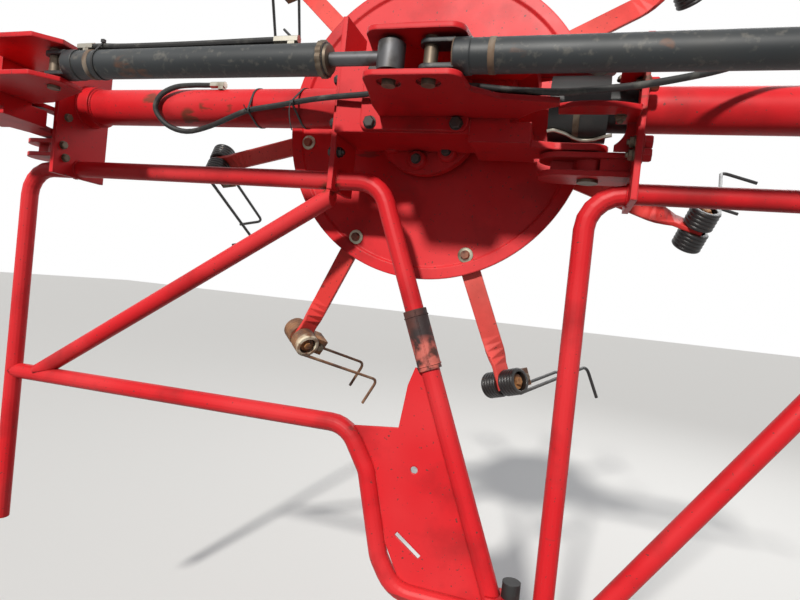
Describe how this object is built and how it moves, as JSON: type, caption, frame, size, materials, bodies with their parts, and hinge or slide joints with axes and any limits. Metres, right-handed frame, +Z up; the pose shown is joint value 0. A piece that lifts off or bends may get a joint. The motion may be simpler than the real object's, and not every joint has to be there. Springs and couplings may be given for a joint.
{
  "type": "folding rotor section of a hay tedder",
  "caption": "Folding beam section of a hay tedder: gearbox, tined rotor with twisted arms and hook tines, bent tube guard frame, fold cylinders and ground wheel, rotor plane upright.",
  "frame": {"origin": "centre of the outer face of the beam's end flange, where the next gearbox bolts on", "axes": "+X along the beam towards that gearbox, +Y from the gearboxes' side to the tines' side, +Z up as the section is folded for the road"},
  "size_m": [2.543, 0.868, 1.9455],
  "materials": {
    "red_paint": "semi-gloss, worn",
    "black_paint": "satin, scuffed",
    "bright_steel": "worn bright",
    "rusty_steel": "rusty",
    "tine_steel": "satin black",
    "black_plastic": "matt",
    "rubber": "matt",
    "tyre": "matt",
    "rim_paint": "satin"
  },
  "bodies": {
    "next_beam": {"beam_right": "red_paint", "hinge_flange": "red_paint", "end_flange": "red_paint", "right_guard_post": "red_paint", "right_guard_top": "red_paint", "right_guard_diagonal": "red_paint", "shaft_guard": "black_plastic", "guard_clip": "bright_steel"},
    "section": {"gearbox_housing": "red_paint", "bearing_casting": "red_paint", "hinge_box": "red_paint", "hinge_pins": "bright_steel", "cylinder_bracket": "red_paint", "bracket_pin_heads": "bright_steel", "inner_flange": "red_paint", "beam_left": "red_paint", "far_flange": "red_paint", "guard_top": "red_paint", "guard_diagonal": "red_paint", "guard_outer": "red_paint", "guard_inner": "red_paint", "guard_sleeve": "rusty_steel", "gusset_panel": "red_paint", "buffer_bracket": "red_paint", "rubber_buffer": "rubber", "left_post": "red_paint", "wheel_leg": "red_paint", "wheel_axle": "bright_steel", "beam_hose": "rubber", "beam_hose_fittings": "bright_steel"},
    "rotor": {"rotor_hub": "red_paint", "rotor_disc": "red_paint", "tine_clamps": "rusty_steel", "arm_1": "red_paint", "arm_2": "red_paint", "arm_3": "red_paint", "arm_4": "red_paint", "arm_5": "red_paint", "arm_6": "red_paint", "arm_7": "red_paint", "tine_1": "tine_steel", "tine_2": "tine_steel", "tine_3": "tine_steel", "tine_4": "tine_steel", "tine_5": "tine_steel", "tine_6": "tine_steel", "tine_7": "rusty_steel"},
    "wheel": {"tyre": "tyre", "wheel_rim": "rim_paint"},
    "knuckle": {"hinge_lugs": "red_paint", "lug_pin": "bright_steel", "knuckle_box": "red_paint", "knuckle_pins": "bright_steel"},
    "barrel_left": {"barrel_left": "black_paint", "barrel_hose": "rubber", "barrel_hose_fittings": "bright_steel"},
    "rod_left": {"rod_left": "bright_steel"},
    "barrel_right": {"barrel_right": "black_paint"},
    "rod_right": {"rod_right": "bright_steel"}
  },
  "joints": [
    {"name": "fold_near", "type": "hinge", "parent": "next_beam", "child": "section", "pos_m": [-0.847, 0, 0], "axis": [0, 0, 1], "range_deg": [0, 90]},
    {"name": "fold_far", "type": "hinge", "parent": "section", "child": "knuckle", "pos_m": [-2.234, 0, 0], "axis": [0, 0, 1], "range_deg": [-90, 0]},
    {"name": "rotor_spin", "type": "hinge", "parent": "section", "child": "rotor", "pos_m": [-1.222, 0.13, 0], "axis": [0, -1, 0], "continuous": true},
    {"name": "wheel_spin", "type": "hinge", "parent": "section", "child": "wheel", "pos_m": [-1.222, 0.373, 0], "axis": [1, 0, 0], "continuous": true},
    {"name": "cylinder_left_pivot", "type": "hinge", "parent": "knuckle", "child": "barrel_left", "pos_m": [-1.97, -0.264, 0], "axis": [0, 0, 1], "range_deg": [0, 90.01]},
    {"name": "cylinder_left_slide", "type": "slide", "parent": "barrel_left", "child": "rod_left", "axis": [1, 0, 0], "range_m": [0, 0.5281]},
    {"name": "cylinder_right_pivot", "type": "hinge", "parent": "section", "child": "barrel_right", "pos_m": [-1.13, -0.264, 0], "axis": [0, 0, 1], "range_deg": [-88.59, 0]},
    {"name": "cylinder_right_slide", "type": "slide", "parent": "barrel_right", "child": "rod_right", "axis": [1, 0, 0], "range_m": [-0.54686, 0]}
  ],
  "couplings": [
    {"joint": "cylinder_left_pivot", "follows": "fold_far", "ratio": -1},
    {"joint": "cylinder_left_slide", "follows": "fold_far", "m_per_rad": -0.33614},
    {"joint": "cylinder_right_pivot", "follows": "fold_near", "ratio": -0.98423},
    {"joint": "cylinder_right_slide", "follows": "fold_near", "m_per_rad": -0.34808}
  ]
}
